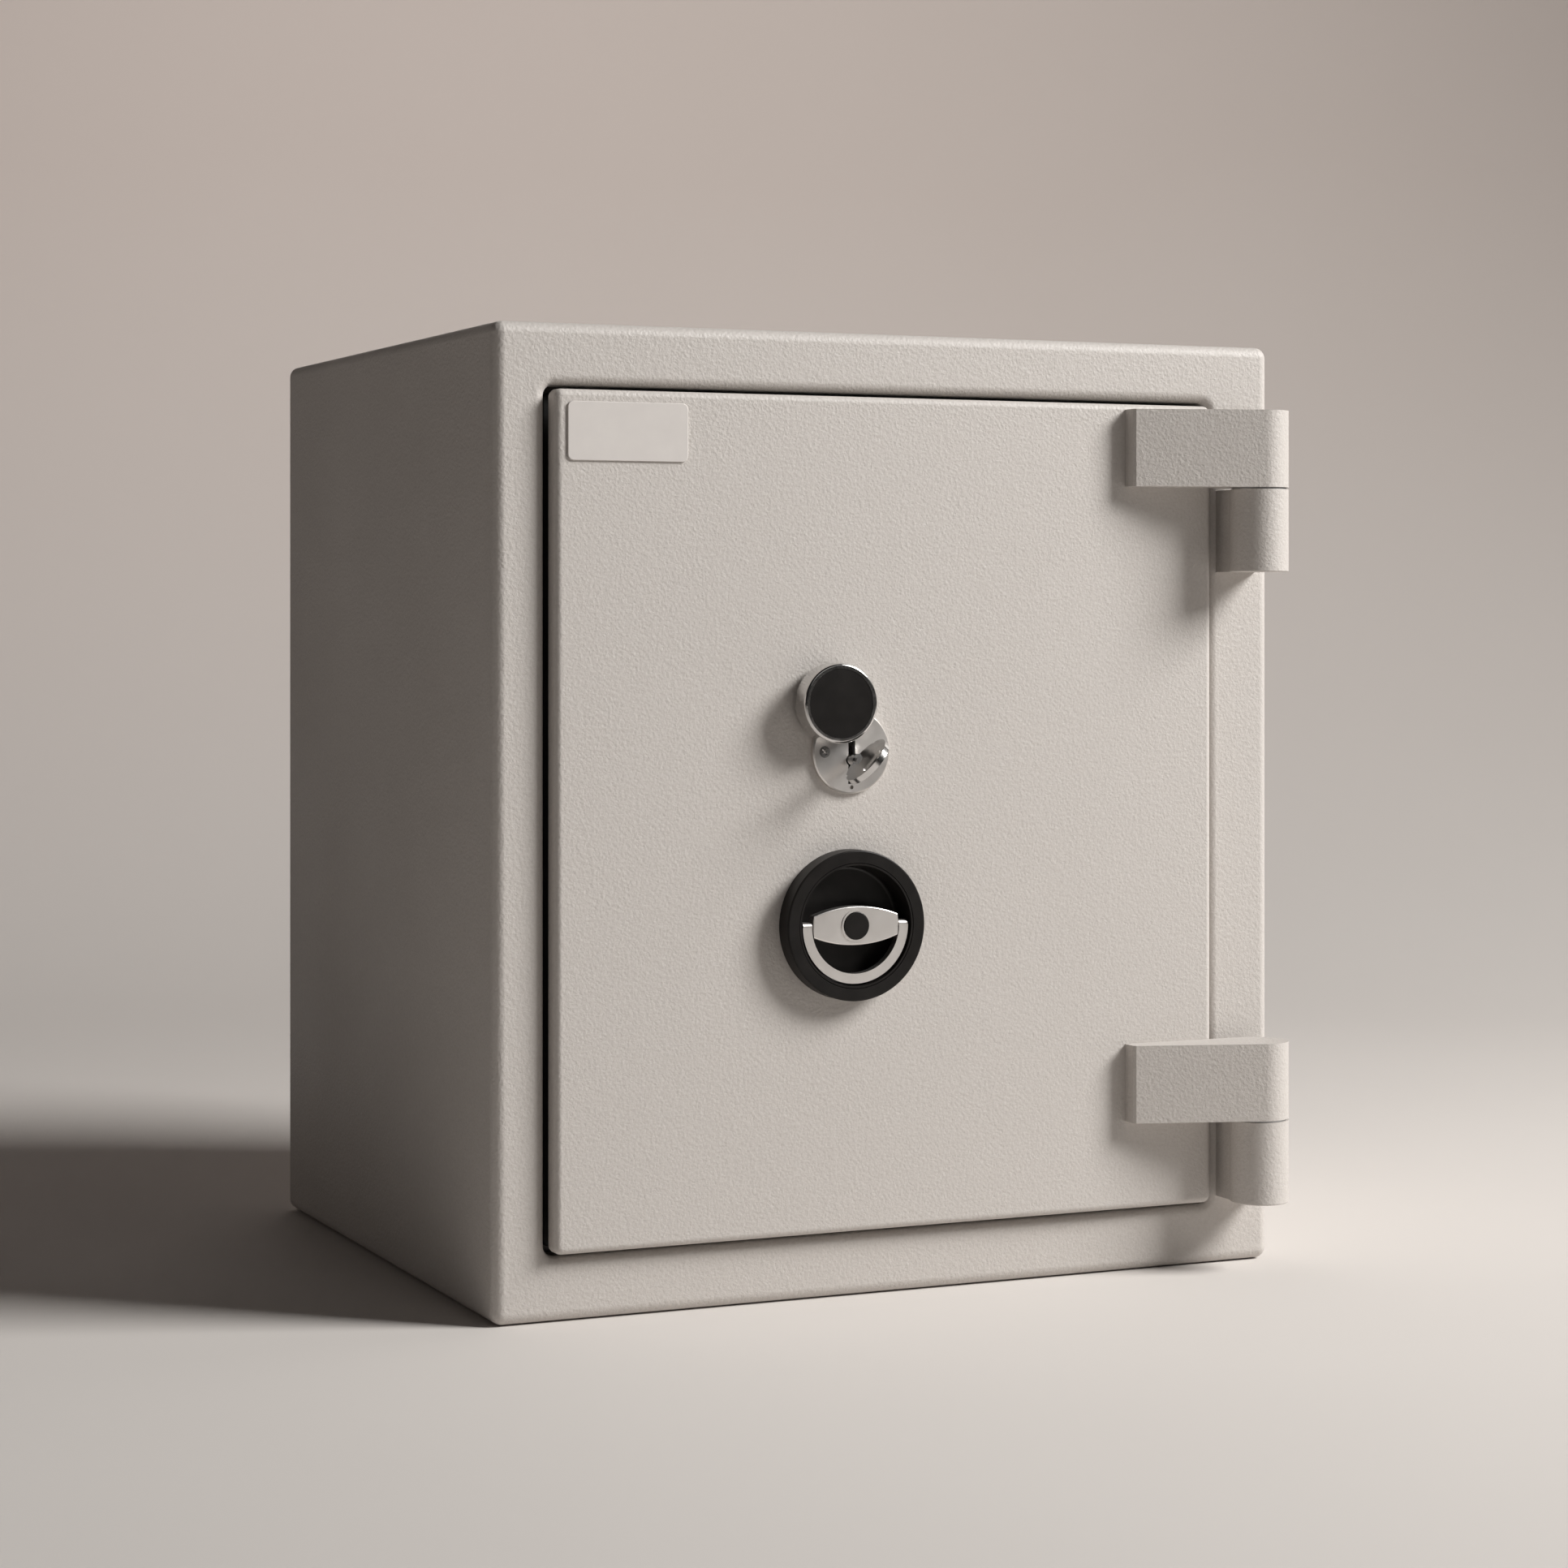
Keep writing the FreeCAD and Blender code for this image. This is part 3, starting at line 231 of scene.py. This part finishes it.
def area(name, loc, target, size, power, color, spread=180.0):
    """Rectangular area light aimed at a point; spread is its cone in degrees."""
    d = bpy.data.lights.new(name, "AREA")
    d.shape = "RECTANGLE"
    d.size, d.size_y = size
    d.energy = power
    d.color = color
    d.spread = math.radians(spread)
    o = bpy.data.objects.new(name, d)
    scene.collection.objects.link(o)
    o.location = loc
    o.rotation_euler = (Vector(target) - Vector(loc)).to_track_quat("-Z", "Y").to_euler()


def surround():
    """Very dim fill from all round, and a plain pale colour where the stage ends."""
    world = bpy.data.worlds.new("world")
    scene.world = world
    world.use_nodes = True
    sky = world.node_tree
    fill = sky.nodes["Background"]
    fill.inputs["Color"].default_value = (1.0, 0.955, 0.92, 1)
    fill.inputs["Strength"].default_value = 0.010
    seen = sky.nodes.new("ShaderNodeBackground")
    seen.inputs["Color"].default_value = (0.40, 0.36, 0.335, 1)
    seen.inputs["Strength"].default_value = 1.0
    path = sky.nodes.new("ShaderNodeLightPath")
    pick = sky.nodes.new("ShaderNodeMixShader")
    sky.links.new(path.outputs["Is Camera Ray"], pick.inputs[0])
    sky.links.new(fill.outputs[0], pick.inputs[1])
    sky.links.new(seen.outputs[0], pick.inputs[2])
    sky.links.new(pick.outputs[0], sky.nodes["World Output"].inputs["Surface"])


def camera():
    """Long lens at the photograph's angle; the shift keeps the uprights parallel."""
    data = bpy.data.cameras.new("camera")
    data.lens = 78.24
    data.sensor_width = 36.0
    data.shift_y = -0.1118
    cam = bpy.data.objects.new("camera", data)
    scene.collection.objects.link(cam)
    cam.location = (-0.7643, -1.7494, 0.3495)
    cam.rotation_euler = (math.radians(90), 0, VIEW_TURN)
    scene.camera = cam


cyclorama()
area("key", (2.5, -1.81, 2.33), (0, 0, 0.25), (1.4, 1.4), 74.0, (1.0, 0.985, 0.965), 110.0)
area("front_fill", (0.3, -3.6, 2.0), (0, 0, 0.25), (2.0, 1.6), 3.0, (1.0, 0.975, 0.955))
area("wall_wash", (0.35, 0.9, 3.4), (0.35, 2.6, 1.5), (2.6, 0.6), 10.5, (1.0, 0.94, 0.915), 80.0)
area("left_fill", (-3.4, -0.4, 0.8), (0, 0, 0.30), (1.2, 1.0), 2.8, (1.0, 0.90, 0.84))
surround()
camera()
scene.view_settings.view_transform = "Standard"
